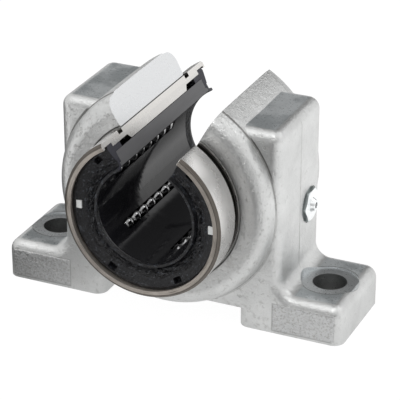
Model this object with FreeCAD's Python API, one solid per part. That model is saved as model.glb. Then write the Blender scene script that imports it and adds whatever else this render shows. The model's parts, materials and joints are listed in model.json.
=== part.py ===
"""Open linear bearing block for a 20 mm shaft.

A die-cast pillow block with two bolt feet holds an open recirculating ball
bearing.  Lengths are millimetres.  X runs from foot to foot, Y along the
shaft, Z up.  The origin is the centre of the mounting face, below the middle
of the bore.  Angles are degrees from +X towards +Z about the bore axis.
"""
import FreeCAD, Part
import math
import os
from FreeCAD import Vector

# --- Shaft and mounting -------------------------------------------------
shaft_radius = 10.0
axis_height = 25.0
bolt_hole_radius = 3.3
opening_half_angle = 30.0

# --- Housing casting ----------------------------------------------------
block_length = 71.2
block_depth = 20.9
block_edge_radius = 2.2
foot_thickness = 7.95
foot_end_radius = 2.4
foot_inner_edge = 14.4
arch_height = 4.0
column_half_width = 22.85
column_height = 41.4
column_end_radius = 2.3
column_root_radius = 3.0
band_radius = 22.3
band_draft = 0.1
hub_step = 0.3
hub_length = 28.8
hub_draft = 0.5
hub_face_dish = 0.4
hub_edge_radius = 2.7
spotface_margin = 0.775
spotface_depth = 0.3
spotface_reach = 6.0
bore_chamfer = 0.4

# --- Outer sleeve -------------------------------------------------------
sleeve_radius = 16.0
sleeve_length = 45.0
sleeve_chamfer = 0.45
groove_outer_distance = 31.2
groove_width = 1.6
groove_radius = 15.15
crimp_lip_radius = 14.6
crimp_lip_width = 0.6
ring_seat_radius = 15.0
ring_seat_depth = 2.8
turn_recess_radius = 14.2
turn_recess_start = 13.2
turn_recess_taper = 0.9

# --- Balls --------------------------------------------------------------
ball_diameter = 3.175
ball_gap = 0.075
balls_per_row = 8
circuit_count = 5
circuit_pitch_angle = 61.5
circuit_lead_angle = 2.5
row_half_angle = 11.0
return_row_lift = 0.85
track_clearance = 0.01
channel_clearance = 0.11

# --- Ball cage ----------------------------------------------------------
cage_bore_gap = 0.25
cage_sleeve_gap = 0.12
cage_spigot_length = 0.5
cage_spigot_wall = 0.75
cage_end_gap = 0.05

# --- End rings ----------------------------------------------------------
ring_fit = 0.05
ring_skirt_length = 2.6
ring_flange_setback = 1.25
ring_dish = 0.85
ring_face_radius = 14.3
ring_rim_drop = 0.35
ring_inner_radius = 11.7
ring_ledge_radius = 11.1
window_width = 1.7
window_inner_radius = 12.95
window_outer_radius = 14.1
window_depth = 1.6
window_angles = (46.5, -60.0, -120.0, 133.5)
peg_angles = (0.0, 180.0)

# --- Ring pegs ----------------------------------------------------------
peg_fit = 0.05
peg_stand = 0.15

# --- Seal lips ----------------------------------------------------------
seal_lip_radius = 9.8
seal_root_radius = 10.6
seal_tip_thickness = 0.6
seal_tip_width = 0.5
seal_lip_setback = 1.3
seal_base_thickness = 0.5
seal_fit = 0.05

# --- Grease nipple ------------------------------------------------------
nipple_y = 4.6
nipple_z = 20.9
nipple_spotface_radius = 3.7
nipple_spotface_depth = 0.35
nipple_across_flats = 6.0
nipple_head_thickness = 1.0
nipple_nose_radius = 1.45
nipple_nose_height = 0.75
nipple_nose_rim = 0.4
nipple_mouth_depth = 0.3
ball_seat_length = 0.55
nipple_stem_radius = 2.5
nipple_stem_length = 4.2
nipple_thread_fit = 0.02
nipple_hole_reserve = 0.8
nipple_bore_radius = 0.9
nipple_mouth_radius = 0.6
nipple_inlet_radius = 0.5
nipple_inner_wall = 0.6
check_ball_radius = 0.85
check_ball_gap = 0.02
spring_wire_radius = 0.1
spring_turns = 5.0
spring_coil_share = 0.65
spring_wire_sides = 8
grease_duct_radius = 0.8
grease_land_angle = -3.0

# --- Worked-out values --------------------------------------------------
axis_point = Vector(0, 0, axis_height)
along_bore = Vector(0, 1, 0)
half_depth = block_depth / 2.0
foot_reach = block_length / 2.0 - column_half_width
bolt_distance = column_half_width + foot_reach / 2.0
spotface_radius = foot_reach / 2.0 - spotface_margin
hub_radius = band_radius - hub_step
bore_mouth = hub_length / 2.0 - hub_face_dish
foot_middle = (foot_inner_edge + block_length / 2.0) / 2.0
half_sleeve = sleeve_length / 2.0
half_groove_span = groove_outer_distance / 2.0
ball_radius = ball_diameter / 2.0
ball_pitch = ball_diameter + ball_gap
load_row_radius = shaft_radius + ball_radius
return_row_radius = load_row_radius + return_row_lift
turn_row_radius = (load_row_radius + return_row_radius) / 2.0
track_radius = load_row_radius + ball_radius + track_clearance
channel_radius = ball_radius + channel_clearance
row_end = (balls_per_row - 1) * ball_pitch / 2.0
row_half_spread = turn_row_radius * math.sin(math.radians(row_half_angle))
turn_ball_reach = math.sqrt(ball_pitch ** 2 - row_half_spread ** 2)
turn_ball_y = row_end + turn_ball_reach
cage_inner_radius = shaft_radius + cage_bore_gap
cage_outer_radius = track_radius - cage_sleeve_gap
ring_seat_start = half_sleeve - crimp_lip_width - ring_seat_depth
flange_back = ring_seat_start + ring_fit
ring_face = half_sleeve - ring_flange_setback
cage_half_length = flange_back - cage_end_gap
spigot_end = cage_half_length + cage_spigot_length
spigot_radius = cage_inner_radius + cage_spigot_wall
skirt_start = cage_half_length - ring_skirt_length
opening_edges = (90.0 - opening_half_angle, 90.0 + opening_half_angle)
circuit_angles = [270.0 + circuit_lead_angle + circuit_pitch_angle * (index - circuit_count // 2)
                  for index in range(circuit_count)]
seal_floor = spigot_end
nipple_seat = Vector(column_half_width - nipple_spotface_depth, nipple_y, nipple_z)
nipple_tip = nipple_head_thickness + nipple_nose_height
spring_floor = nipple_inner_wall - nipple_stem_length
ball_seat_end = nipple_tip - nipple_mouth_depth
ball_seat_start = ball_seat_end - ball_seat_length
seat_drop = nipple_bore_radius - nipple_mouth_radius
seat_slope = math.hypot(ball_seat_length, seat_drop)
check_ball_x = ball_seat_start + (ball_seat_length * nipple_bore_radius
                                  - seat_slope * (check_ball_radius + check_ball_gap)) / seat_drop
spring_coil_radius = check_ball_radius * spring_coil_share
spring_front = check_ball_x - math.sqrt(check_ball_radius ** 2 - spring_coil_radius ** 2)
far = 4.0 * block_length
touching = 0.001


def polar(radius, angle, along=0.0):
    """Point at a radius and an angle about the bore axis."""
    turn = math.radians(angle)
    return Vector(radius * math.cos(turn), along, axis_height + radius * math.sin(turn))


def section_at(angle, profile):
    """Flat face of (radius, along) points in the half-plane at an angle."""
    points = [polar(radius, angle, along) for radius, along in profile]
    return Part.Face(Part.makePolygon(points + points[:1]))


def open_ring(profile):
    """Turned ring of the given section that stops at the cut faces."""
    face = section_at(opening_edges[0], profile)
    return face.revolve(axis_point, along_bore, 360.0 - 2.0 * opening_half_angle)


def full_ring(profile):
    """Turned ring of the given section that goes all the way round."""
    return section_at(0.0, profile).revolve(axis_point, along_bore, 360.0)


def both_ends(half_profile):
    """Whole section from its +Y half, listed from the outside inwards."""
    other_half = [(radius, -along) for radius, along in reversed(half_profile) if along > 0.0]
    return half_profile + other_half


def bore_cylinder(radius, start, end):
    """Cylinder on the bore axis between two places along it."""
    return Part.makeCylinder(radius, end - start, Vector(0, start, axis_height), along_bore)


def mirrored(shape):
    """The same shape at the other end of the bore."""
    return shape.mirror(Vector(0, 0, 0), along_bore)


def edges_where(shape, test):
    """Edges of a shape whose middle point passes a test."""
    chosen = []
    for edge in shape.Edges:
        middle = edge.valueAt((edge.FirstParameter + edge.LastParameter) / 2.0)
        if test(edge, middle):
            chosen.append(edge)
    return chosen


def is_along(edge, direction):
    """True for a straight edge that runs along a direction."""
    if not isinstance(edge.Curve, Part.Line):
        return False
    return abs(abs(edge.Curve.Direction.dot(direction)) - 1.0) < 1e-4


def rounded_outline(corners):
    """Closed wire in the XZ plane through (x, z, radius) corners, with tangent arcs."""
    places = [Vector(x, 0, z) for x, z, _ in corners]
    edges = []
    last = None
    for index, (_, _, radius) in enumerate(corners):
        corner = places[index]
        to_last = (places[index - 1] - corner).normalize()
        to_next = (places[(index + 1) % len(places)] - corner).normalize()
        begin, end = corner + to_last * radius, corner + to_next * radius
        if last is not None:
            edges.append(Part.makeLine(last, begin))
        else:
            first = begin
        if radius > 0.0:
            centre = begin + to_next * radius
            bow = centre + (corner - centre).normalize() * radius
            edges.append(Part.Arc(begin, bow, end).toShape())
        last = end
    edges.append(Part.makeLine(last, first))
    return Part.Wire(edges)


def block():
    """Feet and columns as one casting, with every front and back edge rounded."""
    half_length = block_length / 2.0
    right = [
        (half_length, 0.0, 0.0), (half_length, foot_thickness, foot_end_radius),
        (column_half_width, foot_thickness, column_root_radius),
        (column_half_width, column_height, column_end_radius),
    ]
    left = [(-x, z, radius) for x, z, radius in reversed(right)]
    face = Part.Face(rounded_outline(right + left))
    face.translate(Vector(0, -half_depth, 0))
    body = face.extrude(Vector(0, block_depth, 0))
    rims = edges_where(body, lambda edge, at: abs(abs(at.y) - half_depth) < touching
                       and at.z > touching)
    return body.makeFillet(block_edge_radius, rims)


def rounded_pad(start, end, height):
    """Pad between two places along X, with all four upright edges rounded."""
    pad = Part.makeBox(end - start, block_depth, height, Vector(start, -half_depth, 0))
    upright = edges_where(pad, lambda edge, at: is_along(edge, Vector(0, 0, 1)))
    return pad.makeFillet(block_edge_radius, upright)


def arch():
    """Space between the feet, below the barrel, with their rounded inner ends left standing."""
    space = Part.makeBox(2.0 * foot_middle, far, 2.0 * arch_height,
                         Vector(-foot_middle, -far / 2.0, -arch_height))
    for side in (-1, 1):
        inner, outer = sorted((side * foot_inner_edge, side * far))
        space = space.cut(rounded_pad(inner, outer, far))
    return space


def barrel():
    """Round body about the bore: a wide band with a narrower hub at each end."""
    core = sleeve_radius / 2.0
    half_hub = hub_length / 2.0
    solid = full_ring(both_ends([
        (band_radius, 0), (band_radius - band_draft, half_depth),
        (hub_radius, half_depth + hub_step), (hub_radius - hub_draft, half_hub),
        (sleeve_radius, bore_mouth), (core, bore_mouth),
    ]))
    rims = edges_where(solid, lambda edge, at: abs(abs(at.y) - half_hub) < touching)
    return solid.makeFillet(hub_edge_radius, rims)


def opening_wedge():
    """Wedge that leaves the block and the bearing open at the top."""
    corners = [axis_point] + [polar(far, angle) for angle in opening_edges]
    corners = [corner - along_bore * far for corner in corners]
    return Part.Face(Part.makePolygon(corners + corners[:1])).extrude(along_bore * (2.0 * far))


def chamfered_bore():
    """Bore for the sleeve, with both of its mouths chamfered."""
    bore = bore_cylinder(sleeve_radius, -far, far)
    mouth = full_ring([
        (sleeve_radius / 2.0, bore_mouth - bore_chamfer), (sleeve_radius, bore_mouth - bore_chamfer),
        (sleeve_radius + bore_chamfer, bore_mouth), (sleeve_radius + bore_chamfer, hub_length),
        (sleeve_radius / 2.0, hub_length),
    ])
    return bore.fuse([mouth, mirrored(mouth)])


def bolt_cut(side):
    """Bolt hole through one foot, with the spotface above it."""
    floor = foot_thickness - spotface_depth
    at = Vector(side * bolt_distance, 0, 0)
    up = Vector(0, 0, 1)
    hole = Part.makeCylinder(bolt_hole_radius, far, at - up, up)
    return hole.fuse(Part.makeCylinder(spotface_radius, spotface_reach, at + up * floor, up))


def nipple_port():
    """Seat, tapped hole and grease duct on the +X side of the housing."""
    out = Vector(1, 0, 0)
    seat = Part.makeCylinder(nipple_spotface_radius, far, nipple_seat, out)
    hole_start = nipple_seat - out * (nipple_stem_length + nipple_hole_reserve)
    hole = Part.makeCylinder(nipple_stem_radius + nipple_thread_fit, far, hole_start, out)
    return seat.fuse([hole, grease_duct()])


def grease_duct():
    """Sloping drilling from the nipple's hole to a land between two ball circuits."""
    slope = polar(load_row_radius, grease_land_angle, nipple_y) - nipple_seat
    return Part.makeCylinder(grease_duct_radius, slope.Length, nipple_seat, slope)


def housing():
    """Pillow block cast in one piece, then bored, slotted and drilled."""
    body = block().cut(arch()).fuse(barrel())
    cuts = [chamfered_bore(), opening_wedge(), nipple_port()]
    cuts += [bolt_cut(side) for side in (-1, 1)]
    return body.cut(cuts).removeSplitter()


def outer_sleeve():
    """Hardened sleeve with clip grooves outside and ball tracks inside."""
    groove_start = half_groove_span - groove_width
    body = open_ring(both_ends([
        (sleeve_radius, groove_start), (groove_radius, groove_start),
        (groove_radius, half_groove_span), (sleeve_radius, half_groove_span),
        (sleeve_radius, half_sleeve - sleeve_chamfer),
        (sleeve_radius - sleeve_chamfer, half_sleeve),
        (crimp_lip_radius, half_sleeve), (crimp_lip_radius, half_sleeve - crimp_lip_width),
        (ring_seat_radius, half_sleeve - crimp_lip_width), (ring_seat_radius, ring_seat_start),
        (turn_recess_radius, ring_seat_start), (turn_recess_radius, turn_recess_start),
        (track_radius, turn_recess_start - turn_recess_taper),
    ]))
    cuts = [grease_duct()]
    for angle in circuit_angles:
        cuts.append(row_channel(return_row_radius, angle - row_half_angle, turn_recess_start))
    return body.cut(cuts)


def row_channel(radius, angle, half_length):
    """Round channel for one straight row of balls."""
    start = polar(radius, angle, -half_length)
    return Part.makeCylinder(channel_radius, 2.0 * half_length, start, along_bore)


def turn_pocket(angle, end):
    """Pocket where the balls of one circuit turn round at one end."""
    middle = turn_ball_y - row_half_spread
    reach = turn_ball_y + channel_radius
    floor = turn_row_radius - channel_radius
    outward = polar(1.0, angle) - axis_point
    base = polar(floor, angle, middle)
    pocket = Part.makeCylinder(reach - middle, cage_outer_radius, base, outward)
    beyond = Part.makeBox(far, far, far, Vector(-far / 2.0, row_end, -far / 2.0))
    pocket = pocket.common(beyond)
    return pocket if end > 0 else mirrored(pocket)


def ball_cage():
    """Moulded cage that guides five closed ball circuits."""
    body = open_ring(both_ends([
        (cage_outer_radius, cage_half_length), (spigot_radius, cage_half_length),
        (spigot_radius, spigot_end), (cage_inner_radius, spigot_end),
    ]))
    cuts = []
    for angle in circuit_angles:
        cuts.append(row_channel(load_row_radius, angle + row_half_angle, row_end + ball_radius))
        cuts.append(row_channel(return_row_radius, angle - row_half_angle, row_end + ball_radius))
        cuts.append(turn_pocket(angle, -1))
        cuts.append(turn_pocket(angle, 1))
    return body.cut(cuts)


def row_of_balls(radius, angle):
    """Balls of one straight row, evenly spaced about the middle."""
    balls = []
    for place in range(balls_per_row):
        along = place * ball_pitch - row_end
        balls.append(Part.makeSphere(ball_radius, polar(radius, angle, along)))
    return balls


def load_balls(angle):
    """Balls of one circuit that carry the shaft."""
    return Part.makeCompound(row_of_balls(load_row_radius, angle + row_half_angle))


def return_balls(angle):
    """Balls of one circuit that run back, with the one in each turn."""
    balls = row_of_balls(return_row_radius, angle - row_half_angle)
    for along in (-turn_ball_y, turn_ball_y):
        balls.append(Part.makeSphere(ball_radius, polar(turn_row_radius, angle, along)))
    return Part.makeCompound(balls)


def window_block(angle, inset):
    """Block that fills one window of an end ring, smaller by an inset."""
    length = window_depth + ring_flange_setback if inset == 0.0 else window_depth - peg_stand - inset
    block = Part.makeBox(
        window_outer_radius - window_inner_radius - 2.0 * inset, length,
        window_width - 2.0 * inset,
        Vector(window_inner_radius + inset, ring_face - window_depth + inset,
               axis_height - window_width / 2.0 + inset))
    return block.rotate(axis_point, along_bore, -angle)


def end_ring():
    """Retaining ring at the +Y end, snapped in behind the sleeve's lip."""
    outer = ring_seat_radius - ring_fit
    skirt = turn_recess_radius - ring_fit
    hub = cage_outer_radius + ring_fit
    body = open_ring([
        (skirt, skirt_start), (skirt, flange_back), (outer, flange_back),
        (outer, ring_face - ring_rim_drop), (ring_face_radius, ring_face),
        (ring_inner_radius, ring_face - ring_dish), (ring_inner_radius, seal_floor),
        (ring_ledge_radius, seal_floor), (ring_ledge_radius, flange_back), (hub, flange_back),
        (hub, skirt_start),
    ])
    return body.cut([window_block(angle, 0.0) for angle in window_angles + peg_angles])


def ring_pegs():
    """Pair of locating pegs in the end ring's side windows."""
    return Part.makeCompound([window_block(angle, peg_fit) for angle in peg_angles])


def seal_lip():
    """Rubber wiper held inside the end ring at the +Y end."""
    outer = ring_inner_radius - seal_fit
    bottom = seal_floor + seal_fit
    floor = bottom + seal_base_thickness
    tip = half_sleeve - seal_lip_setback
    return open_ring([
        (cage_inner_radius, bottom), (outer, bottom), (outer, floor), (seal_root_radius, floor),
        (seal_lip_radius + seal_tip_width, tip), (seal_lip_radius, tip),
        (seal_lip_radius, tip - seal_tip_thickness),
    ])


def along_x(radius, start, end):
    """Cylinder on the nipple's axis, from one place to another past its seat."""
    return Part.makeCylinder(radius, end - start, nipple_seat + Vector(start, 0, 0), Vector(1, 0, 0))


def cone_along_x(start_radius, end_radius, start, end):
    """Cone on the nipple's axis."""
    return Part.makeCone(start_radius, end_radius, end - start,
                         nipple_seat + Vector(start, 0, 0), Vector(1, 0, 0))


def nipple_body():
    """Hexagon grease nipple with a seat for its check ball."""
    corner_radius = nipple_across_flats / math.sqrt(3.0)
    wide = corner_radius + nipple_head_thickness
    flat = nipple_across_flats / 2.0
    corners = []
    for index in range(6):
        turn = math.radians(60.0 * index)
        corners.append(nipple_seat + Vector(0, math.cos(turn), math.sin(turn)) * corner_radius)
    head = Part.Face(Part.makePolygon(corners + corners[:1])).extrude(
        Vector(nipple_head_thickness, 0, 0))
    bevel = cone_along_x(wide, flat, nipple_head_thickness - (wide - flat) / 2.0,
                         nipple_head_thickness)
    bevel = bevel.fuse(along_x(2.0 * corner_radius, -nipple_head_thickness,
                               nipple_head_thickness / 2.0))
    body = head.common(bevel)
    nose = cone_along_x(nipple_nose_radius, nipple_mouth_radius + nipple_nose_rim,
                        nipple_head_thickness, nipple_tip)
    stem = along_x(nipple_stem_radius, -nipple_stem_length, 0.0)
    body = body.fuse([nose, stem])
    cavity = along_x(nipple_bore_radius, spring_floor, ball_seat_start)
    seat = cone_along_x(nipple_bore_radius, nipple_mouth_radius, ball_seat_start, ball_seat_end)
    mouth = along_x(nipple_mouth_radius, ball_seat_end, nipple_tip + nipple_nose_height)
    inlet = along_x(nipple_inlet_radius, -nipple_stem_length - nipple_inner_wall, spring_floor)
    return body.cut([cavity, seat, mouth, inlet])


def check_ball():
    """Ball that shuts the nipple from inside."""
    return Part.makeSphere(check_ball_radius, nipple_seat + Vector(check_ball_x, 0, 0))


def check_spring():
    """Coil spring behind the check ball."""
    start = spring_floor + spring_wire_radius + check_ball_gap
    end = spring_front - spring_wire_radius - check_ball_gap
    helix = Part.makeHelix((end - start) / spring_turns, end - start, spring_coil_radius)
    section = []
    for index in range(spring_wire_sides):
        turn = math.radians(360.0 * index / spring_wire_sides)
        section.append(Vector(spring_coil_radius + spring_wire_radius * math.cos(turn), 0,
                              spring_wire_radius * math.sin(turn)))
    outline = Part.makePolygon(section + section[:1])
    coil = Part.Wire(helix.Edges).makePipeShell([outline], True, True)
    coil.rotate(Vector(0, 0, 0), Vector(0, 1, 0), 90.0)
    coil.translate(nipple_seat + Vector(start, 0, 0))
    return coil


def build():
    """All pieces of the block by node name."""
    pieces = {
        "housing": housing(),
        "outer_sleeve": outer_sleeve(),
        "ball_cage": ball_cage(),
        "rear_end_ring": end_ring(),
        "front_end_ring": mirrored(end_ring()),
        "rear_ring_pegs": ring_pegs(),
        "front_ring_pegs": mirrored(ring_pegs()),
        "rear_seal_lip": seal_lip(),
        "front_seal_lip": mirrored(seal_lip()),
        "grease_nipple": nipple_body(),
        "nipple_check_ball": check_ball(),
        "nipple_spring": check_spring(),
    }
    for number, angle in enumerate(circuit_angles, start=1):
        pieces["load_balls_%d" % number] = load_balls(angle)
        pieces["return_balls_%d" % number] = return_balls(angle)
    return pieces


def main():
    """Write every piece to its own STEP file."""
    os.makedirs("parts", exist_ok=True)
    for name, shape in build().items():
        shape.exportStep(os.path.join("parts", name + ".step"))
        print(name, len(shape.Solids), shape.isValid(), round(shape.Volume, 2))


main()
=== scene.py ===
"""Looks of an open linear bearing block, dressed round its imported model.

The block is a grainy die casting with a ground steel sleeve, a glossy black
ball cage, dusty black end rings with white pegs, rubber wipers and a zinc
plated grease nipple.  Sizes in the dataclasses are millimetres in the model's
own frame: X from foot to foot, Y along the shaft, Z up.
"""
import json
import logging
import math
from dataclasses import dataclass
from enum import Enum
from typing import Dict, List, Optional, Sequence, Tuple, Union

import bpy
import numpy as np
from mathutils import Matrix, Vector


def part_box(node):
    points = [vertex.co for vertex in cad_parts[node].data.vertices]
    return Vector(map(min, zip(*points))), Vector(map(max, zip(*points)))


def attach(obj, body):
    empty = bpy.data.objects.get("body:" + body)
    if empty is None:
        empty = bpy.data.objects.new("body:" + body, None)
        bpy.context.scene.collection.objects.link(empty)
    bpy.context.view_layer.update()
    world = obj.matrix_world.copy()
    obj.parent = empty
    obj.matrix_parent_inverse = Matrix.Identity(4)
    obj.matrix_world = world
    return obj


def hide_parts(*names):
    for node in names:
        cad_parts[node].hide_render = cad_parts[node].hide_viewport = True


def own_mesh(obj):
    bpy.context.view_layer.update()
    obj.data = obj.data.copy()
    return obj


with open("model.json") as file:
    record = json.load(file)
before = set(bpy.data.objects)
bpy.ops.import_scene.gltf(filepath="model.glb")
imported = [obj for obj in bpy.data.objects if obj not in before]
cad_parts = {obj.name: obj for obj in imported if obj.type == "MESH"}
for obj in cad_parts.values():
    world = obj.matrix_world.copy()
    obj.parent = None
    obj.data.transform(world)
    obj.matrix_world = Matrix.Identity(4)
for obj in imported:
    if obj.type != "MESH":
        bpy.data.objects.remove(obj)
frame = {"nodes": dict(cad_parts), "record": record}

log = logging.getLogger("bearing_block")

MM = 0.001
AXIS_HEIGHT = 25.0
OPENING_HALF_ANGLE = 30.0
CUT_REACH = (0.06, 0.02)
LEVEL_RANGE = (0.97, 0.995)
OCTAVE_SHARE = 0.55

Number = Union[int, float]
Colour = Tuple[float, float, float]
Value = Union["Link", Number]
Cells = Tuple[Tuple[int, int], ...]


# --- Shader maths --------------------------------------------------------


class Link:
    """One output of a shader tree, with the arithmetic that the finishes use."""

    def __init__(self, graph: "Graph", socket: bpy.types.NodeSocket) -> None:
        """Keep the tree and the socket."""
        self.graph = graph
        self.socket = socket

    def __add__(self, other: Value) -> "Link":
        """Sum."""
        return self.graph.maths("ADD", self, other)

    def __radd__(self, other: Value) -> "Link":
        """Sum with a plain number on the left."""
        return self.graph.maths("ADD", other, self)

    def __sub__(self, other: Value) -> "Link":
        """Difference."""
        return self.graph.maths("SUBTRACT", self, other)

    def __rsub__(self, other: Value) -> "Link":
        """Difference from a plain number."""
        return self.graph.maths("SUBTRACT", other, self)

    def __mul__(self, other: Value) -> "Link":
        """Product."""
        return self.graph.maths("MULTIPLY", self, other)

    def __rmul__(self, other: Value) -> "Link":
        """Product with a plain number on the left."""
        return self.graph.maths("MULTIPLY", other, self)

    def __pow__(self, other: Value) -> "Link":
        """Power."""
        return self.graph.maths("POWER", self, other)

    def __abs__(self) -> "Link":
        """Size without its sign."""
        return self.graph.maths("ABSOLUTE", self)


@dataclass(frozen=True)
class Noise:
    """Settings of a fractal noise.

    scale is in cycles a millimetre, rough is how strong each octave is beside
    the one before, stretch multiplies the three parts of the place, and span
    says where patches of the noise begin and where they are full.
    """

    scale: float = 1.0
    octaves: float = 3.0
    rough: float = 0.6
    stretch: Tuple[float, float, float] = (1.0, 1.0, 1.0)
    span: Tuple[float, float] = (0.4, 0.6)


class Graph:
    """A node tree that is written as expressions."""

    def __init__(self, tree: bpy.types.NodeTree) -> None:
        """Start from an empty tree."""
        self.tree = tree
        tree.nodes.clear()

    def node(self, kind: str, settings: Optional[Dict[str, object]] = None,
             inputs: Optional[Dict[Union[int, str], object]] = None,
             output: int = 0) -> Link:
        """Make one node.

        Args:
            kind: Node type without its ShaderNode prefix.
            settings: Attributes that are set before the inputs.
            inputs: Values or links by socket name or number.
            output: Number of the output that is wanted.

        Returns:
            That output.
        """
        made = self.tree.nodes.new("ShaderNode" + kind)
        for name, value in (settings or {}).items():
            setattr(made, name, value)
        for name, value in (inputs or {}).items():
            socket = made.inputs[name]
            if isinstance(value, Link):
                self.tree.links.new(value.socket, socket)
            elif isinstance(value, tuple) and socket.type == "RGBA":
                socket.default_value = (*value, 1.0)
            else:
                socket.default_value = value
        return Link(self, made.outputs[output])

    def maths(self, operation: str, *values: Value) -> Link:
        """Math node of one operation on values or links."""
        return self.node("Math", {"operation": operation}, dict(enumerate(values)))

    def between(self, low: Colour, high: Colour, share: Value) -> Link:
        """Colour that goes from low to high as share goes from 0 to 1."""
        return self.node("Mix", {"data_type": "RGBA"}, {0: share, 6: low, 7: high}, 2)

    def rise(self, value: Link, start: float, end: float) -> Link:
        """Smooth step: 0 up to start, 1 from end on, or falling if end is the lower."""
        return self.node("MapRange", {"interpolation_type": "SMOOTHSTEP"},
                         {0: value, 1: start, 2: end, 3: 0.0, 4: 1.0})

    def vector(self, x: Value, y: Value, z: Value) -> Link:
        """Vector from three numbers."""
        return self.node("CombineXYZ", None, {0: x, 1: y, 2: z})

    def cloud(self, at: Link, noise: Noise) -> Link:
        """Fractal noise from 0 to 1."""
        return self.node("TexNoise", None, {"Vector": at, "Scale": noise.scale,
                                            "Detail": noise.octaves, "Roughness": noise.rough})

    def patches(self, at: Link, noise: Noise) -> Link:
        """1 in the patches of a noise, 0 between them."""
        return self.rise(self.cloud(at, noise), *noise.span)

    def streaks(self, x: Link, y: Link, z: Link, noise: Noise) -> Link:
        """Noise of three parts of a place, each times its own stretch."""
        across, along, up = noise.stretch
        return self.cloud(self.vector(x * across, y * along, z * up), noise)

    def rays(self, *names: str) -> List[Link]:
        """Answers of the light path node, such as Is Camera Ray, in the order asked."""
        path = self.node("LightPath").socket.node
        return [Link(self, path.outputs[name]) for name in names]


@dataclass(frozen=True)
class Place:
    """Where a shaded point is, in millimetres in the block's own frame.

    radius and turn are its distance from the bore axis and its angle about
    it, off_cut is its distance from the nearer face of the opening, and level
    is 1 where the surface faces straight up.
    """

    at: Link
    x: Link
    y: Link
    z: Link
    radius: Link
    turn: Link
    off_cut: Link
    level: Link

    @classmethod
    def of(cls, graph: Graph) -> "Place":
        """Read the object's coordinates.

        Args:
            graph: Tree of the material.

        Returns:
            The point with its measures.
        """
        metres = graph.node("TexCoord", output=3)
        at = graph.node("VectorMath", {"operation": "SCALE"}, {0: metres, "Scale": 1.0 / MM})
        split = graph.node("SeparateXYZ", None, {0: at}).socket.node
        x, y, z = (Link(graph, split.outputs[index]) for index in range(3))
        up = z - AXIS_HEIGHT
        radius = graph.maths("SQRT", x * x + up * up)
        turn = graph.maths("ARCTAN2", up, x)
        slope = math.radians(90.0 - OPENING_HALF_ANGLE)
        off_cut = abs(abs(x) * math.sin(slope) - up * math.cos(slope))
        facing = graph.node("SeparateXYZ", None, {0: graph.node("NewGeometry", output=3)})
        level = graph.rise(Link(graph, facing.socket.node.outputs[2]), *LEVEL_RANGE)
        return cls(at, x, y, z, radius, turn, off_cut, level)

    def cut_face(self, graph: Graph) -> Link:
        """1 on the two flat faces of the opening, 0 elsewhere."""
        return graph.rise(self.off_cut, *CUT_REACH)


# --- Finishes ------------------------------------------------------------


def close_material(graph: Graph, shader: Link) -> None:
    """Lead a shader to its material's output."""
    output = graph.tree.nodes.new("ShaderNodeOutputMaterial")
    graph.tree.links.new(shader.socket, output.inputs[0])


@dataclass(frozen=True)
class Finish:
    """A surface finish: what its shader has the same all over, and how to paint the rest."""

    name: str
    metallic: float = 0.0
    roughness: float = 0.5
    ior: float = 1.5
    coat: float = 0.0
    coat_roughness: float = 0.1

    def paint(self, graph: Graph, place: Place) -> Dict[str, Link]:
        """What varies over the surface, by shader socket; "Height" is in millimetres."""
        return {}

    def build(self) -> bpy.types.Material:
        """Make the material once.

        Returns:
            The material of this name.
        """
        name = self.name + "_finish"
        found = bpy.data.materials.get(name)
        if found is not None:
            return found
        material = bpy.data.materials.new(name)
        material.use_nodes = True
        graph = Graph(material.node_tree)
        painted = self.paint(graph, Place.of(graph))
        inputs: Dict[Union[int, str], object] = {
            "Metallic": self.metallic, "Roughness": self.roughness, "IOR": self.ior,
            "Coat Weight": self.coat, "Coat Roughness": self.coat_roughness,
        }
        height = painted.pop("Height", None)
        if height is not None:
            inputs["Normal"] = graph.node("Bump", None, {
                "Strength": 1.0, "Distance": MM, "Height": height})
        inputs.update(painted)
        close_material(graph, graph.node("BsdfPrincipled", None, inputs))
        return material


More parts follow.
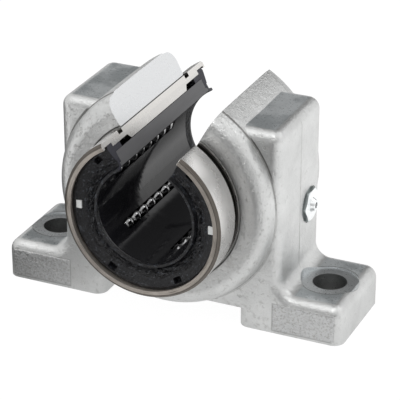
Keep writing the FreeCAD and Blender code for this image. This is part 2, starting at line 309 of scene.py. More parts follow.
@dataclass(frozen=True)
class CastAluminium(Finish):
    """Grainy die-cast skin, machined on the cut faces, the bolt seats and the bore."""

    metallic: float = 0.9
    roughness: float = 0.40
    dull: Colour = (0.53, 0.535, 0.53)
    bright: Colour = (0.79, 0.795, 0.79)
    milled: Colour = (0.80, 0.81, 0.82)
    turned: Colour = (0.60, 0.62, 0.63)
    # The two top colours are painted shade for faces that point straight up
    top_dark: Colour = (0.38, 0.405, 0.415)
    top_light: Colour = (0.60, 0.625, 0.635)
    stain: Colour = (0.38, 0.375, 0.36)
    shade: Colour = (0.10, 0.098, 0.092)
    joint_black: Colour = (0.03, 0.03, 0.03)
    panel_tone: Colour = (0.57, 0.575, 0.58)
    grain_noise: Noise = Noise(2.6)
    cloud_noise: Noise = Noise(0.13, 4.0)
    blotch_noise: Noise = Noise(0.45)
    coarse_noise: Noise = Noise(1.5, rough=0.65)
    ripple_noise: Noise = Noise(0.8)
    pits: Noise = Noise(1.7, 2.0, 0.5, span=(0.36, 0.30))
    freckles: Noise = Noise(1.1, rough=0.65, span=(0.56, 0.68))
    flecks: Noise = Noise(2.1, rough=0.65, span=(0.50, 0.62))
    scratches: Noise = Noise(1.0, 2.0, 0.5, stretch=(5.0, 0.25, 5.0), span=(0.35, 0.65))
    foot_top: float = 7.9
    foot_marks_end: float = 13.4
    bolt_distance: float = 29.22
    seat_radius: float = 5.6
    hole_radius: float = 3.36
    bore_radius: float = 16.05
    parting_y: float = -0.3
    column_side: float = 22.9
    step_y: float = 10.55
    step_radius: float = 22.1
    gap_radius: float = 16.35
    gap_y: float = 13.7
    field_x: Tuple[float, float] = (21.6, 34.3)
    field_z: Tuple[float, float] = (0.6, 6.3)
    field_soft: float = 0.12
    field_groove: float = 0.22
    front_y: float = -10.4

    def paint(self, graph: Graph, place: Place) -> Dict[str, Link]:
        """Grain, clouds and stains, painted shade on the tops, along the joints, in the panel's
        groove and in the bolt holes, with the machined places smoother and brighter.

        Args:
            graph: Tree of the material.
            place: The shaded point.

        Returns:
            Links by socket, and the height of the skin.
        """
        grain = graph.cloud(place.at, self.grain_noise)
        cloud = graph.cloud(place.at, self.cloud_noise)
        blotch = graph.cloud(place.at, self.blotch_noise)
        pit = graph.patches(place.at, self.pits)
        cut = place.cut_face(graph)
        top = place.level * graph.rise(place.z, self.foot_top - 0.1, self.foot_top)
        line, seam, gap, joint = self._joints(graph, place, blotch, cut)
        seat, rings, hole, rim = self._bolt_marks(graph, place)
        panel, panel_groove_shade = self._field(graph, place)

        tone = graph.maths("MULTIPLY_ADD", cloud, 1.3, -0.25) + (grain - 0.5) * 0.5
        colour = graph.between(self.dull, self.bright, tone + 0.05)
        stained = graph.rise(blotch * cloud, 0.33, 0.42) * 0.35
        colour = graph.between(colour, self.stain, stained)
        front = graph.rise(abs(place.y), 9.6, 10.3) * (1.0 - top)
        freckle = graph.patches(place.at, self.freckles) * front
        # Pits are real dirt; the parting line's darkening is painted shade of its fine step
        pits_and_parting_shade = graph.maths("MAXIMUM", pit * 0.22, line * 0.7)
        colour = graph.between(colour, self.stain, graph.maths("MAXIMUM", pits_and_parting_shade, freckle * 0.35))
        # Faces that point straight up are painted darker and mottled: painted shade
        patchy = graph.rise(cloud + (blotch - 0.5) * 0.35, 0.38, 0.62)
        colour = graph.between(colour, graph.between(self.top_dark, self.top_light, patchy), top)
        fleck = graph.patches(place.at, self.flecks) * panel
        colour = graph.between(colour, self.panel_tone, panel * 0.7)
        colour = graph.between(colour, self.stain, fleck * 0.75)
        # Painted shade in the barrel's step, in the panel's groove and in the gap behind the sleeve
        dark = graph.maths("MAXIMUM", seam * 0.85, graph.maths("MAXIMUM", panel_groove_shade * 0.34, gap * 0.9))
        colour = graph.between(colour, self.shade, dark)
        scratch = graph.streaks(place.x, place.y, place.z, self.scratches)
        milling = cut * (0.97 + graph.rise(scratch, *self.scratches.span) * 0.03)
        colour = graph.between(colour, self.milled, milling)
        colour = graph.between(colour, self.turned, seat * (0.9 + rings * 0.1))
        # Bolt holes and seat edges take painted shade
        colour = graph.between(colour, self.shade, graph.maths("MAXIMUM", hole, rim * 0.6))
        colour = graph.between(colour, self.joint_black, joint)

        smooth = graph.maths("MAXIMUM", graph.maths("MAXIMUM", cut, seat), top)
        coarse = graph.cloud(place.at, self.coarse_noise)
        ripple = graph.cloud(place.at, self.ripple_noise)
        skin = (grain * 0.07 + ripple * 0.08 - pit * 0.02 - line * 0.03
                + panel * coarse * 0.2 - freckle * 0.05)
        return {
            "Base Color": colour,
            "Metallic": self.metallic - top * 0.35,
            "Roughness": self.roughness + (grain - 0.5) * 0.2 - smooth * 0.10,
            "Height": skin * (1.0 - smooth * 0.8) * (1.0 - cut * 0.95) + seat * rings * 0.006,
        }

    def _joints(self, graph: Graph, place: Place, blotch: Link,
                cut: Link) -> Tuple[Link, Link, Link, Link]:
        """Painted shade along the mould's parting line, in the barrel's step and in the gap behind
        the sleeve's groove, and the bore's dark joint line on the cut faces.

        Args:
            graph: Tree of the material.
            place: The shaded point.
            blotch: Noise that breaks the lines up.
            cut: 1 on the opening's faces.

        Returns:
            The painted shade of the parting line up the columns, of the seam in the barrel's step
            and of the gap behind the sleeve's groove, and the bore's dark joint line on the cut
            faces.
        """
        # Parting line up the columns, darkened as painted shade
        line = (graph.rise(abs(place.y - self.parting_y), 0.16, 0.05)
                * graph.rise(abs(abs(place.x) - self.column_side), 0.5, 0.2)
                * (0.4 + blotch))
        # Painted shade in the crease where the barrel steps into the columns, darker higher up
        seam = (graph.rise(abs(abs(place.y) - self.step_y), 0.26, 0.10)
                * graph.rise(abs(place.radius - self.step_radius), 0.42, 0.34)
                * (0.35 + 0.65 * graph.rise(place.z, 20.0, 34.0)) * (0.55 + blotch * 0.7))
        # Painted shade in the gap between the bore and the sleeve, behind its groove
        gap = (graph.rise(place.radius, self.gap_radius + 0.2, self.gap_radius)
               * graph.rise(abs(place.y), self.gap_y, self.gap_y + 0.2) * (1.0 - cut))
        joint = graph.rise(abs(place.radius - self.bore_radius), 0.14, 0.05) * cut
        return line, seam, gap, joint

    def _bolt_marks(self, graph: Graph, place: Place) -> Tuple[Link, Link, Link, Link]:
        """Turned seat round each bolt hole, with painted shade round its edge, and grime and
        painted shade in the hole.

        Args:
            graph: Tree of the material.
            place: The shaded point.

        Returns:
            The seat, its turning rings from -1 to 1, the hole's grime and painted shade, which is
            darker lower down, and the painted shade of the rim round the seat.
        """
        off_bolt = graph.maths("SQRT", (abs(place.x) - self.bolt_distance) ** 2.0
                               + place.y * place.y)
        low = graph.rise(place.z, self.foot_marks_end + 0.5, self.foot_marks_end)
        seat = graph.rise(off_bolt, self.seat_radius + 0.05, self.seat_radius) * low
        rings = graph.maths("SINE", off_bolt * 26.0)
        hole = graph.rise(off_bolt, self.hole_radius + 0.02, self.hole_radius - 0.01) * low
        # Grime and painted shade in the hole, darker lower down
        grime = hole * (0.45 + 0.35 * graph.rise(place.z, 7.2, 4.0))
        # Painted shade along the seat's edge on the foot's top
        rim = (graph.rise(off_bolt, self.seat_radius - 0.03, self.seat_radius + 0.03)
               * graph.rise(off_bolt, self.seat_radius + 0.32, self.seat_radius + 0.15)
               * low * place.level)
        return seat, rings, grime, rim

    def _field(self, graph: Graph, place: Place) -> Tuple[Link, Link]:
        """Rough plain panel on the front of each foot.

        Args:
            graph: Tree of the material.
            place: The shaded point.

        Returns:
            1 inside the panel, and 1 on the fine groove round it, which is painted in shade.
        """
        front = graph.rise(place.y, self.front_y, self.front_y - 0.03)
        soft = self.field_soft

        def inside(margin: float) -> Link:
            """1 inside the panel's rectangle.

            Args:
                margin: How far the rectangle is grown on each side.

            Returns:
                The mask.
            """
            (left, right), (low, high) = self.field_x, self.field_z
            return (graph.rise(abs(place.x), left - margin, left - margin + soft)
                    * graph.rise(abs(place.x), right + margin, right + margin - soft)
                    * graph.rise(place.z, low - margin, low - margin + soft)
                    * graph.rise(place.z, high + margin, high + margin - soft) * front)

        panel = inside(0.0)
        return panel, inside(self.field_groove) - panel


@dataclass(frozen=True)
class SleeveSteel(Finish):
    """Hardened sleeve: ground outside, scaled in the grooves and on the ends."""

    metallic: float = 1.0
    roughness: float = 0.52
    ground: Colour = (0.86, 0.85, 0.84)
    scale: Colour = (0.17, 0.15, 0.13)
    worn_scale: Colour = (0.60, 0.55, 0.50)
    groove: Colour = (0.050, 0.047, 0.042)
    # The lighter groove colour is a painted highlight along the groove's outer edge
    groove_edge: Colour = (0.30, 0.29, 0.275)
    burnt: Colour = (0.060, 0.052, 0.044)
    cut: Colour = (0.80, 0.785, 0.76)
    # The inside colour is painted shade: near black on the sleeve's inner surface
    inside: Colour = (0.10, 0.10, 0.10)
    line_noise: Noise = Noise(stretch=(9.0, 1.2, 9.0))
    rub_noise: Noise = Noise(stretch=(14.0, 3.0, 2.0))
    smear_noise: Noise = Noise(0.28, rough=0.5)
    band_radius: float = 15.7
    rim_radius: float = 15.30
    inner_radius: float = 14.7
    groove_lip: Tuple[float, float] = (15.60, 15.92)
    sunk_radius: float = 15.85
    outer_radius: float = 16.0
    band_end: float = 22.0
    end_start: float = 21.6
    sunk_end: float = 15.7
    housing_end: float = 14.0

    def paint(self, graph: Graph, place: Place) -> Dict[str, Link]:
        """Grinding lines round the band, turned scale on the end faces.

        Args:
            graph: Tree of the material.
            place: The shaded point.

        Returns:
            Links by socket, and the height of the grinding and turning marks.
        """
        lines = graph.streaks(place.y, place.turn, place.radius, self.line_noise)
        rub = graph.streaks(place.radius, place.turn, place.y, self.rub_noise)
        smear = graph.cloud(place.at, self.smear_noise)
        cut = place.cut_face(graph)
        band = (graph.rise(place.radius, self.band_radius, self.band_radius + 0.15)
                * graph.rise(abs(place.y), self.band_end + 0.05, self.band_end - 0.1))
        end = graph.rise(abs(place.y), self.end_start, self.end_start + 0.2)
        rim = graph.rise(place.radius, self.rim_radius, self.rim_radius + 0.15) * (1.0 - band) * end
        inner_shade = graph.rise(place.radius, self.inner_radius + 0.2, self.inner_radius) * (1.0 - end)
        sunk = (graph.rise(place.radius, self.sunk_radius + 0.10, self.sunk_radius)
                * graph.rise(abs(place.y), self.sunk_end + 0.2, self.sunk_end)
                * (1.0 - cut))
        lip_in, lip_out = self.groove_lip
        lip = (graph.rise(place.radius, lip_in, lip_in + 0.12)
               * graph.rise(place.radius, lip_out, lip_out - 0.12))
        joint = (graph.rise(abs(place.radius - self.outer_radius), 0.12, 0.04) * cut
                 * graph.rise(abs(place.y), self.housing_end + 0.2, self.housing_end))
        worn = graph.rise(rub * 0.7 + smear * 0.3, 0.33, 0.52)
        colour = graph.between(self.scale, self.worn_scale, worn)
        colour = graph.between(colour, self.burnt, rim * 0.8)
        # The sleeve's inner surface is painted near black as shade
        colour = graph.between(colour, self.inside, inner_shade)
        colour = graph.between(colour, self.ground, band * (0.80 + lines * 0.2))
        # Lighter line near the groove's outer edge: painted highlight
        groove = graph.between(self.groove, self.groove_edge, lip * 0.8)
        colour = graph.between(colour, groove, sunk)
        colour = graph.between(colour, self.cut, cut * (0.80 + lines * 0.2))
        colour = graph.between(colour, self.groove, joint)
        bright = graph.maths("MAXIMUM", band, cut)
        return {
            "Base Color": colour,
            "Roughness": self.roughness - bright * 0.24 + (smear - 0.5) * 0.12,
            "Height": lines * band * 0.005 + rub * (1.0 - bright) * 0.04,
        }


@dataclass(frozen=True)
class CagePlastic(Finish):
    """Smooth black moulding with a film of grease, sawn grey on the cut faces."""

    roughness: float = 0.09
    deep: Colour = (0.010, 0.010, 0.012)
    sawn: Colour = (0.12, 0.12, 0.125)
    saw_noise: Noise = Noise(stretch=(1.5, 0.15, 1.5))
    film_noise: Noise = Noise(0.35, rough=0.55, span=(0.5, 0.7))

    def paint(self, graph: Graph, place: Place) -> Dict[str, Link]:
        """Saw lines on the cut faces, a wavy oil film elsewhere.

        Args:
            graph: Tree of the material.
            place: The shaded point.

        Returns:
            Links by socket, and the height of the film and the saw lines.
        """
        cut = place.cut_face(graph)
        saw = graph.streaks(place.x, place.y, place.z, self.saw_noise)
        film = graph.cloud(place.at, self.film_noise)
        dull = graph.rise(film, *self.film_noise.span)
        colour = graph.between(self.deep, self.sawn, cut * (0.75 + saw * 0.5))
        return {
            "Base Color": colour,
            "Roughness": self.roughness + cut * 0.22 + dull * 0.08,
            "Height": film * (1.0 - cut) * 0.03 + cut * saw * 0.01,
        }


@dataclass(frozen=True)
class GreasyBlack(Finish):
    """Black ring plastic or rubber, dusty, with bluish smears of grease; smears and specks are
    lightened partly as painted sheen and glints.
    """

    deep: Colour = (0.010, 0.010, 0.012)
    # The bluish smear colour is grease, lightened partly as painted sheen
    smear: Colour = (0.125, 0.14, 0.165)
    sawn: Colour = (0.024, 0.024, 0.036)
    amount: float = 0.5
    wander_noise: Noise = Noise(0.4)
    sway: float = 3.0
    drawn_noise: Noise = Noise(1.0, 4.0, 0.7, stretch=(1.6, 9.0, 1.0), span=(0.56, 0.74))
    specks: Noise = Noise(1.9, 2.0, span=(0.60, 0.70))
    lump_noise: Noise = Noise(1.8, rough=0.65)

    def paint(self, graph: Graph, place: Place) -> Dict[str, Link]:
        """Smears drawn round the bore, thicker in places and partly painted sheen, pale specks of
        dust and painted glints, and violet saw marks at the cut.

        Args:
            graph: Tree of the material.
            place: The shaded point.

        Returns:
            Links by socket, and the height of the grease.
        """
        wander = graph.cloud(place.at, self.wander_noise)
        outward, turned, along = self.drawn_noise.stretch
        swayed = place.turn * turned + wander * self.sway
        drawn = graph.cloud(graph.vector(place.radius * outward, swayed, place.y * along),
                            self.drawn_noise)
        smear = graph.rise(drawn, *self.drawn_noise.span) * self.amount
        dust_and_glint = graph.patches(place.at, self.specks)
        lumps = graph.cloud(place.at, self.lump_noise)
        cut = place.cut_face(graph)
        # Grease smears and specks lighten the black: real grease and dust, partly painted sheen and
        # glints
        colour = graph.between(self.deep, self.smear, graph.maths("MAXIMUM", smear, dust_and_glint * 0.5))
        colour = graph.between(colour, self.sawn, cut * 0.9)
        return {
            "Base Color": colour,
            "Roughness": self.roughness - smear * 0.25 + cut * 0.1,
            "Height": (drawn * 0.20 + wander * 0.1 + lumps * 0.26) * (1.0 - cut),
        }


@dataclass(frozen=True)
class PlainMetal(Finish):
    """Small metal piece with a faint cloud in its tone and a fine grain."""

    metallic: float = 1.0
    dark: Colour = (0.60, 0.61, 0.62)
    light: Colour = (0.80, 0.82, 0.83)
    grain: float = 0.01
    tone_noise: Noise = Noise(0.9, rough=0.5, span=(0.3, 0.7))
    grain_noise: Noise = Noise(5.0, 2.0, 0.5)

    def paint(self, graph: Graph, place: Place) -> Dict[str, Link]:
        """Tone and grain from one noise each.

        Args:
            graph: Tree of the material.
            place: The shaded point.

        Returns:
            Links by socket, and the height of the grain.
        """
        tone = graph.patches(place.at, self.tone_noise)
        grain = graph.cloud(place.at, self.grain_noise)
        return {
            "Base Color": graph.between(self.dark, self.light, tone),
            "Roughness": self.roughness + (grain - 0.5) * 0.1,
            "Height": grain * self.grain,
        }


@dataclass(frozen=True)
class ZincPlate(PlainMetal):
    """Bright zinc on the nipple's outer faces, with painted shade on the sides of its head."""

    # The side colour is painted shade on the sides of the hex head
    side: Colour = (0.42, 0.47, 0.47)
    head_face: float = 23.4

    def paint(self, graph: Graph, place: Place) -> Dict[str, Link]:
        """Plain metal, with painted shade below the plane of the head's outer face.

        Args:
            graph: Tree of the material.
            place: The shaded point.

        Returns:
            Links by socket, and the height of the grain.
        """
        painted = super().paint(graph, place)
        head_side_shade = graph.rise(place.x, self.head_face + 0.04, self.head_face - 0.04)
        painted["Base Color"] = graph.between(painted["Base Color"], self.side, head_side_shade * 0.85)
        return painted


@dataclass(frozen=True)
class PegPlastic(Finish):
    """White moulded peg with a little grime and painted shade in patches."""

    clean: Colour = (0.90, 0.91, 0.90)
    # Darker patches of grime and painted shade
    grime: Colour = (0.62, 0.61, 0.58)
    grime_noise: Noise = Noise(1.4, span=(0.55, 0.75))

    def paint(self, graph: Graph, place: Place) -> Dict[str, Link]:
        """Grime and painted shade in a few patches.

        Args:
            graph: Tree of the material.
            place: The shaded point.

        Returns:
            Links by socket, and the height of the grime.
        """
        patch = graph.patches(place.at, self.grime_noise)
        return {"Base Color": graph.between(self.clean, self.grime, patch * 0.5),
                "Height": patch * 0.01}


class Slot(Enum):
    """The material slots of the record, each with its finish."""

    cast_aluminium = CastAluminium("cast_aluminium")
    sleeve_steel = SleeveSteel("sleeve_steel")
    cage_plastic = CagePlastic("cage_plastic")
    ring_plastic = GreasyBlack("ring_plastic", roughness=0.42)
    peg_plastic = PegPlastic("peg_plastic", roughness=0.4)
    seal_rubber = GreasyBlack("seal_rubber", roughness=0.30, amount=0.8)
    zinc_plate = ZincPlate("zinc_plate", roughness=0.30, dark=(0.88, 0.90, 0.905),
                           light=(0.93, 0.945, 0.95))
    # The balls' dark grey is painted shade for the dark bore that they mirror
    ball_steel = PlainMetal("ball_steel", roughness=0.12, dark=(0.30, 0.30, 0.305),
                            light=(0.42, 0.42, 0.42), grain=0.0)
    spring_steel = PlainMetal("spring_steel", roughness=0.35)


def dress(item: bpy.types.Object, slot: Slot) -> None:
    """Give a piece the finish of one slot.

    Args:
        item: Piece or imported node.
        slot: Slot of the record.
    """
    material = slot.value.build()
    if not item.data.materials:
        item.data.materials.append(material)
    for held in item.material_slots:
        held.material = material


# --- New surfaces --------------------------------------------------------


def make_piece(name: str, points: np.ndarray, faces: Sequence[Sequence[int]],
               volume: float) -> bpy.types.Object:
    """Smooth closed mesh in the scene.

    Args:
        name: Name of the piece.
        points: Rows of x, y and z in metres.
        faces: Corner numbers of each face.
        volume: Signed volume inside; where it is negative the faces are turned over.

    Returns:
        The new object, with its faces pointing outwards.
    """
    mesh = bpy.data.meshes.new(name)
    mesh.from_pydata(points.tolist(), [], faces)
    mesh.validate()
    if volume < 0.0:
        mesh.flip_normals()
    mesh.polygons.foreach_set("use_smooth", np.ones(len(mesh.polygons), bool))
    item = bpy.data.objects.new(name, mesh)
    bpy.context.scene.collection.objects.link(item)
    return item


def shell(name: str, outer: np.ndarray, inner: np.ndarray) -> bpy.types.Object:
    """Closed thin body between two grids of points.

    Quads join each grid's neighbours, with the inner grid's turned round, and
    four strips close the rims.

    Args:
        name: Name of the piece.
        outer: Grid of points in millimetres, rows by columns by 3.
        inner: Grid of the same shape behind it.

    Returns:
        The new object, with its faces pointing outwards.
    """
    rows, columns = outer.shape[:2]
    index = np.arange(rows * columns).reshape(rows, columns)
    quads = np.stack([index[:-1, :-1], index[1:, :-1], index[1:, 1:], index[:-1, 1:]], -1)
    quads = quads.reshape(-1, 4)
    count = rows * columns
    rim = np.concatenate([index[0, :], index[1:, -1], index[-1, -2::-1], index[-2:0:-1, 0]])
    after = np.roll(rim, -1)
    side = np.stack([rim, after, after + count, rim + count], -1)
    faces = np.concatenate([quads, quads[:, ::-1] + count, side])
    points = np.concatenate([outer.reshape(-1, 3), inner.reshape(-1, 3)]) * MM
    return make_piece(name, points, faces.tolist(), signed_volume(points, faces))


def tube(name: str, grid: np.ndarray) -> bpy.types.Object:
    """Closed tube through rings of points.

    Quads join neighbours along and round the tube, and one polygon closes
    each end.

    Args:
        name: Name of the piece.
        grid: Points in millimetres, rings by points round by 3.

    Returns:
        The new object, with its faces pointing outwards.
    """
    rings, around = grid.shape[:2]
    index = np.arange(rings * around).reshape(rings, around)
    after = np.roll(index, -1, axis=1)
    quads = np.stack([index[:-1], after[:-1], after[1:], index[1:]], -1).reshape(-1, 4)
    points = grid.reshape(-1, 3) * MM
    faces = quads.tolist() + [index[0, ::-1].tolist(), index[-1].tolist()]
    volume = signed_volume(points - points.mean(axis=0), quads)
    return make_piece(name, points, faces, volume)


def signed_volume(points: np.ndarray, faces: np.ndarray) -> float:
    """Volume of a closed quad mesh: a sixth of the sum of each corner triple's box product.

    Args:
        points: Rows of x, y and z.
        faces: Rows of four corner numbers.

    Returns:
        The volume, negative where the faces point inwards.
    """
    a, b, c, d = (points[faces[:, corner]] for corner in range(4))
    first = np.einsum("ij,ij->i", a, np.cross(b, c))
    second = np.einsum("ij,ij->i", a, np.cross(c, d))
    return float((first + second).sum() / 6.0)


def rough_field(rows: int, columns: int, cells: Cells, seed: int) -> np.ndarray:
    """Smooth random field: sums of coarse random grids, each stretched by cosine steps.

    Args:
        rows: Rows wanted.
        columns: Columns wanted.
        cells: Cells along rows and columns of each octave; each octave is
            OCTAVE_SHARE as strong as the one before.
        seed: Seed of the draw.

    Returns:
        Field of about -1 to 1.
    """
    draw = np.random.default_rng(seed)
    total = np.zeros((rows, columns))
    strength = 1.0
    for down, across in cells:
        coarse = draw.uniform(-1.0, 1.0, (down + 2, across + 2))
        u = np.linspace(0.0, down, rows)
        v = np.linspace(0.0, across, columns)
        i, j = u.astype(int), v.astype(int)
        s = ((1.0 - np.cos(np.pi * (u - i))) / 2.0)[:, None]
        t = ((1.0 - np.cos(np.pi * (v - j))) / 2.0)[None, :]
        low = coarse[i][:, j] * (1.0 - t) + coarse[i][:, j + 1] * t
        high = coarse[i + 1][:, j] * (1.0 - t) + coarse[i + 1][:, j + 1] * t
        total += strength * (low * (1.0 - s) + high * s)
        strength *= OCTAVE_SHARE
    return total


@dataclass
class GreaseBead:
    """Grease pushed into the trough of an end ring, in ragged ridges round the bore."""

    front: bool
    seed: int
    start_angle: float = 121.0
    end_angle: float = 419.0
    inner_radius: float = 10.5
    trough_radius: float = 11.7
    outer_radius: float = 12.9
    trough_floor: float = 20.15
    dish_floor: float = 20.4
    face: float = 21.25
    face_radius: float = 14.3
    height: float = 0.66
    ragged: float = 0.9
    cover: float = 0.55
    lean: float = 0.6
    end_fade: float = 0.12
    stand_out: float = 0.25
    sunk: float = 0.12
    around: int = 760
    across: int = 36
    cells: Cells = ((40, 4), (110, 9), (250, 17))

    def build(self) -> bpy.types.Object:
        """Ragged skin over the trough and the dished face.

        The base follows the ring's section; the height over it is a random
        field that fades to nothing at both rims and dips under the base in
        places, so the ring shows between the smears.

        Returns:
            The piece, riding on the block.
        """
        angle = np.radians(np.linspace(self.start_angle, self.end_angle, self.around))[:, None]
        radius = np.linspace(self.inner_radius, self.outer_radius, self.across)[None, :]
        dish = self.dish_floor + (radius - self.trough_radius) * (
            (self.face - self.dish_floor) / (self.face_radius - self.trough_radius))
        base = np.where(radius < self.trough_radius, self.trough_floor, dish)
        field = rough_field(self.around, self.across, self.cells, self.seed)
        share = (radius - self.inner_radius) / (self.outer_radius - self.inner_radius)
        ends = (np.clip((angle - angle[0]) / self.end_fade, 0.0, 1.0)
                * np.clip((angle[-1] - angle) / self.end_fade, 0.0, 1.0))
        crown = np.sin(np.pi * share ** self.lean) * ends
        rise = self.height * (field * self.ragged + self.cover) * crown
        along = np.minimum(base + rise - self.sunk * (1.0 - crown), self.face + self.stand_out)
        sign = -1.0 if self.front else 1.0
        outer = self._points(angle, radius, sign * along)
        inner = self._points(angle, radius, sign * (base - 2.0 * self.sunk) + 0.0 * along)
        name = "front_grease_bead" if self.front else "rear_grease_bead"
        item = shell(name, outer, inner)
        dress(item, Slot.seal_rubber)
        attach(item, "block")
        return item

    @staticmethod
    def _points(angle: np.ndarray, radius: np.ndarray, along: np.ndarray) -> np.ndarray:
        """Points about the bore axis: x and z on a circle of the radius, y along it.

        Args:
            angle: Column of angles in radians.
            radius: Row of radii.
            along: Grid of places along the axis.

        Returns:
            Grid of points.
        """
        x = radius * np.cos(angle)
        z = AXIS_HEIGHT + radius * np.sin(angle)
        return np.stack([x, along + 0.0 * x, z], -1)


@dataclass
class PartingFlash:
    """Fine bead of flash that the mould's joint leaves up the side of a column."""

    side: int
    seed: int = 7
    at_x: float = 22.85
    at_y: float = -0.3
    low: float = 11.2
    high: float = 39.0
    half_width: float = 0.09
    proud: float = 0.05
    sunk: float = 0.05
    unevenness: float = 0.35
    sway: float = 0.05
    along: int = 120
    across: int = 9
    cells: Cells = ((9, 1), (31, 1))

    def build(self) -> bpy.types.Object:
        """Half-round section carried up the column.

        Its height is a cosine across its width, and both its height and its
        line waver with one random field.

        Returns:
            The piece, riding on the block.
        """
        z = np.linspace(self.low, self.high, self.along)[:, None]
        turn = np.linspace(-1.0, 1.0, self.across)[None, :]
        waver = rough_field(self.along, 1, self.cells, self.seed + self.side)
        proud = self.proud * (1.0 + self.unevenness * waver) * np.cos(turn * np.pi / 2.0)
        y = self.at_y + self.sway * waver + self.half_width * turn
        x_out = self.side * (self.at_x + proud)
        x_in = self.side * (self.at_x - self.sunk) + 0.0 * proud
        outer = np.stack([x_out, y + 0.0 * z, z + 0.0 * y], -1)
        inner = np.stack([x_in, y + 0.0 * z, z + 0.0 * y], -1)
        name = "right_parting_flash" if self.side > 0 else "left_parting_flash"
        item = shell(name, outer, inner)
        dress(item, Slot.cast_aluminium)
        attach(item, "block")
        return item


@dataclass
class FootPanel:
    """Plain rough-cast panel that stands a hair proud of the front of a foot."""

    side: int
    seed: int = 41
    near_x: float = 21.7
    far_x: float = 34.2
    low: float = 0.7
    high: float = 6.25
    face: float = 10.45
    proud: float = 0.05
    relief: float = 0.055
    sunk: float = 0.06
    edge: float = 0.25
    columns: int = 240
    rows: int = 110
    cells: Cells = ((7, 15), (18, 40), (40, 90))

    def build(self) -> bpy.types.Object:
        """Rectangle whose height over the foot is a pitted random field.

        The height fades below the foot's face over the edge's width, so the
        panel meets the foot in a soft line.

        Returns:
            The piece, riding on the block.
        """
        x = np.linspace(self.near_x, self.far_x, self.columns)[None, :]
        z = np.linspace(self.low, self.high, self.rows)[:, None]
        field = rough_field(self.rows, self.columns, self.cells, self.seed + self.side)
        inset = np.minimum(np.minimum(x - self.near_x, self.far_x - x),
                           np.minimum(z - self.low, self.high - z))
        crown = np.clip(inset / self.edge, 0.0, 1.0)
        height = (self.proud + self.relief * field) * crown - self.sunk * (1.0 - crown)
        outer = self._points(x, z, -self.face - height)
        inner = self._points(x, z, -self.face + 2.0 * self.sunk + 0.0 * height)
        name = "right_foot_panel" if self.side > 0 else "left_foot_panel"
        item = shell(name, outer, inner)
        dress(item, Slot.cast_aluminium)
        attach(item, "block")
        return item

    def _points(self, x: np.ndarray, z: np.ndarray, y: np.ndarray) -> np.ndarray:
        """Grid of points on this side of the block."""
        return np.stack([self.side * x + 0.0 * y, y, z + 0.0 * y], -1)


@dataclass
class CheckSpring:
    """Coil spring behind the nipple's check ball."""

    wire_radius: float = 0.1
    turns: float = 5.0
    travel: float = 0.6
    along: int = 260
    around: int = 12

    def build(self, low: Vector, high: Vector) -> bpy.types.Object:
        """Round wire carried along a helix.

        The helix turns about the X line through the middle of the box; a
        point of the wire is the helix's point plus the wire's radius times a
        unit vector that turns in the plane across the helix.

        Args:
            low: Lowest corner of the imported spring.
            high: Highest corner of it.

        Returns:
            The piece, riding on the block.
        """
        start, end = low.x / MM + self.wire_radius, high.x / MM - self.wire_radius
        coil = (high.z - low.z) / MM / 2.0 - self.wire_radius
        centre = np.array([0.0, (low.y + high.y) / MM / 2.0, (low.z + high.z) / MM / 2.0])
        share = np.linspace(0.0, 1.0, self.along)
        turn = 2.0 * np.pi * self.turns * share
        zero = np.zeros_like(turn)
        out = np.stack([zero, np.cos(turn), np.sin(turn)], -1)
        path = centre + out * coil + np.stack([start + (end - start) * share, zero, zero], -1)
        forward = np.gradient(path, axis=0)
        forward /= np.linalg.norm(forward, axis=1)[:, None]
        side = np.cross(forward, out)
        roll = np.linspace(0.0, 2.0 * np.pi, self.around + 1)[:-1]
        points = path[:, None, :] + self.wire_radius * (
            np.cos(roll)[None, :, None] * out[:, None, :]
            + np.sin(roll)[None, :, None] * side[:, None, :])
        item = tube("check_spring", points)
        dress(item, Slot.spring_steel)
        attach(item, "block")
        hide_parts("nipple_spring")
        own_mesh(item)
        return item


# --- Studio --------------------------------------------------------------


@dataclass(frozen=True)
class SoftBox:
    """A square soft light that looks at the block, from a metre away."""

    name: str
    azimuth: float
    elevation: float
    width: float
    watts: float
    distance: float = 1.0

    def build(self, target: Vector) -> None:
        """Hang the light at its bearing from the target.

        Args:
            target: The point that it looks at.
        """
        light = bpy.data.lights.new(self.name, "AREA")
        light.shape = "SQUARE"
        light.size = self.width
        light.energy = self.watts
        item = bpy.data.objects.new(self.name, light)
        bpy.context.scene.collection.objects.link(item)
        back = bearing(self.azimuth, self.elevation)
        item.location = target + back * self.distance
        item.rotation_euler = (-back).to_track_quat("-Z", "Y").to_euler()


def bearing(azimuth: float, elevation: float) -> Vector:
    """Unit direction from the block.

    Args:
        azimuth: Degrees from the front towards the +X side.
        elevation: Degrees above level.

    Returns:
        The direction.
    """
    a, e = math.radians(azimuth), math.radians(elevation)
    return Vector((math.sin(a) * math.cos(e), -math.cos(a) * math.cos(e), math.sin(e)))


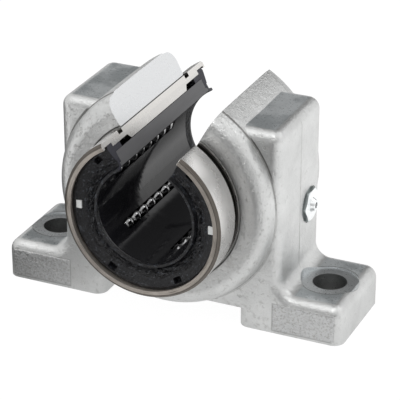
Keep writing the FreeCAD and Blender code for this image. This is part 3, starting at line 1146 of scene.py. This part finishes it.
@dataclass(frozen=True)
class Studio:
    """Plain pale floor, white surroundings, soft boxes and the camera.

    Bearings are in degrees. The floor's spots, which only mirrors see, are in
    metres on the floor.
    """

    floor_radius: float = 1.6
    floor_sides: int = 64
    target_height: float = 20.0
    camera_at: Tuple[float, float, float] = (148.354, -323.945, 192.432)
    camera_azimuth: float = 24.334
    camera_elevation: float = 25.929
    sensor: float = 36.0
    lens: float = 183.1
    ambient: float = 0.6
    dark_azimuth: float = 189.0
    front_azimuth: float = 12.0
    key_azimuth: float = 88.0
    key_elevation: float = 30.0
    near_spot_x: float = 0.018
    spot_glow: float = 0.68
    floor_white: float = 0.96
    pale: Colour = (0.66, 0.66, 0.66)
    unlit: Colour = (0.10, 0.10, 0.10)
    under_white: Colour = (0.09, 0.09, 0.09)

    def build(self) -> None:
        """Make everything round the block."""
        self._camera()
        self._world()
        self._floor()
        target = Vector((0.0, 0.0, self.target_height * MM))
        for box in (
            SoftBox("key_box", azimuth=self.key_azimuth, elevation=self.key_elevation,
                    width=1.0, watts=2.1),
            SoftBox("front_box", azimuth=-35.0, elevation=62.0, width=0.8, watts=1.1),
            SoftBox("rear_box", azimuth=138.0, elevation=44.0, width=0.4, watts=0.7),
            SoftBox("glint_box", azimuth=8.0, elevation=58.0, width=0.13, watts=1.0),
        ):
            box.build(target)
        bpy.context.scene.view_settings.view_transform = "Standard"

    def _camera(self) -> None:
        """Long lens from the front right."""
        data = bpy.data.cameras.new("camera")
        data.lens = self.lens
        data.sensor_width = self.sensor
        data.clip_start = 0.01
        camera = bpy.data.objects.new("camera", data)
        bpy.context.scene.collection.objects.link(camera)
        camera.location = Vector(self.camera_at) * MM
        back = bearing(self.camera_azimuth, self.camera_elevation)
        camera.rotation_euler = (-back).to_track_quat("-Z", "Y").to_euler()
        bpy.context.scene.camera = camera

    def _world(self) -> None:
        """White to the camera, even to matt surfaces, and shaded to mirrors.

        Metal sees it dimmer low in front, higher up behind, and behind the
        key box, so that the box and the white together don't clip.
        """
        world = bpy.data.worlds.new("surroundings")
        bpy.context.scene.world = world
        world.use_nodes = True
        graph = Graph(world.node_tree)
        camera, glossy = graph.rays("Is Camera Ray", "Is Glossy Ray")
        direction = graph.node("TexCoord", output=0)
        split = graph.node("SeparateXYZ", None, {0: direction}).socket.node
        across, along, up = (Link(graph, split.outputs[index]) for index in range(3))
        level_share = graph.maths("SQRT", across * across + along * along + 1e-6)

        def toward(azimuth: float) -> Link:
            """Cosine of the level angle between the ray and a bearing."""
            way = bearing(azimuth, 0.0)
            return graph.maths("DIVIDE", across * way.x + along * way.y, level_share)

        front = (graph.rise(toward(self.front_azimuth), 0.3, 1.0)
                 * graph.rise(up, 0.62, 0.35) * 0.88)
        behind = graph.rise(toward(self.dark_azimuth), 0.83, 0.90)
        high = graph.rise(up, 0.10, 0.32) * (0.12 + 0.88 * behind)
        key = bearing(self.key_azimuth, self.key_elevation)
        toward_key = across * key.x + along * key.y + up * key.z
        behind_key = graph.rise(toward_key, 0.75, 0.92) * 0.60
        dim = graph.maths("MAXIMUM", front, high) * 0.9
        seen = 1.0 - graph.maths("MAXIMUM", dim, behind_key)
        level = camera + (1.0 - camera) * (glossy * seen + (1.0 - glossy) * self.ambient)
        shade = graph.node("Background", None, {"Color": (1.0, 1.0, 1.0), "Strength": level})
        output = graph.tree.nodes.new("ShaderNodeOutputWorld")
        graph.tree.links.new(shade.socket, output.inputs[0])

    def _floor(self) -> None:
        """Round pale floor that stays white to the camera and keeps a faint shadow.

        Its outline is the points of a circle. Metal sees bright spots on its
        right, on its left in front, and near the block, and a dark floor
        between them.
        """
        turn = np.linspace(0.0, 2.0 * np.pi, self.floor_sides + 1)[:-1]
        points = np.stack([np.cos(turn), np.sin(turn), 0.0 * turn], -1) * self.floor_radius
        mesh = bpy.data.meshes.new("floor")
        mesh.from_pydata(points.tolist(), [], [list(range(len(points)))])
        floor = bpy.data.objects.new("floor", mesh)
        bpy.context.scene.collection.objects.link(floor)
        material = bpy.data.materials.new("pale_floor")
        material.use_nodes = True
        graph = Graph(material.node_tree)
        camera, glossy, through = graph.rays("Is Camera Ray", "Is Glossy Ray",
                                             "Is Transmission Ray")
        seen = graph.maths("MINIMUM", camera + through, 1.0)
        place = graph.node("SeparateXYZ", None, {0: graph.node("TexCoord", output=3)}).socket.node
        x, y = Link(graph, place.outputs[0]), Link(graph, place.outputs[1])
        off_spot = x - self.near_spot_x
        away = graph.maths("SQRT", off_spot * off_spot + y * y)
        right = graph.rise(x * 0.85 + y * 0.25, 0.0, 0.05) * 0.92
        left = graph.rise(x, -0.030, -0.058) * graph.rise(y, -0.022, -0.045) * 0.92
        near = graph.rise(away, 0.065, 0.030) * 0.78
        lit = graph.maths("MAXIMUM", right, graph.maths("MAXIMUM", left, near))
        glow = graph.node("Emission", None, {
            "Color": (1.0, 1.0, 1.0),
            "Strength": seen * self.floor_white + glossy * lit * self.spot_glow})
        mirrored = graph.between(self.pale, self.unlit, glossy * (1.0 - lit))
        matt = graph.node("BsdfDiffuse", None, {
            "Color": graph.between(mirrored, self.under_white, seen)})
        close_material(graph, graph.node("AddShader", None, {0: glow, 1: matt}))
        mesh.materials.append(material)


# --- The block -----------------------------------------------------------


@dataclass
class BearingBlock:
    """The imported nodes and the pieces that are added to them."""

    nodes: Dict[str, bpy.types.Object]
    slots: Dict[str, str]

    def dress_nodes(self) -> None:
        """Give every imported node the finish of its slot."""
        for name, item in self.nodes.items():
            dress(item, Slot[self.slots[name]])
            log.info("dressed %s in %s", name, self.slots[name])

    def add_pieces(self) -> List[bpy.types.Object]:
        """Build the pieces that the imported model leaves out.

        Returns:
            The new pieces.
        """
        pieces = [GreaseBead(front=True, seed=11).build(),
                  GreaseBead(front=False, seed=23).build()]
        pieces += [PartingFlash(side).build() for side in (-1, 1)]
        pieces += [FootPanel(side).build() for side in (-1, 1)]
        pieces.append(CheckSpring().build(*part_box("nipple_spring")))
        for piece in pieces:
            log.info("built %s with %d faces", piece.name, len(piece.data.polygons))
        return pieces


def record_slots(record: Dict[str, object]) -> Dict[str, str]:
    """Slot of each node, from the record's subparts."""
    return {part["node"]: part["material_slot"] for part in record["subparts"]}


def main() -> None:
    """Dress the block, add its small pieces and set up the studio."""
    logging.basicConfig(level=logging.INFO, format="%(name)s: %(message)s")
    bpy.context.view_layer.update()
    block = BearingBlock(frame["nodes"], record_slots(frame["record"]))
    block.dress_nodes()
    block.add_pieces()
    Studio().build()
    bpy.context.view_layer.update()


if __name__ == "__main__":
    main()
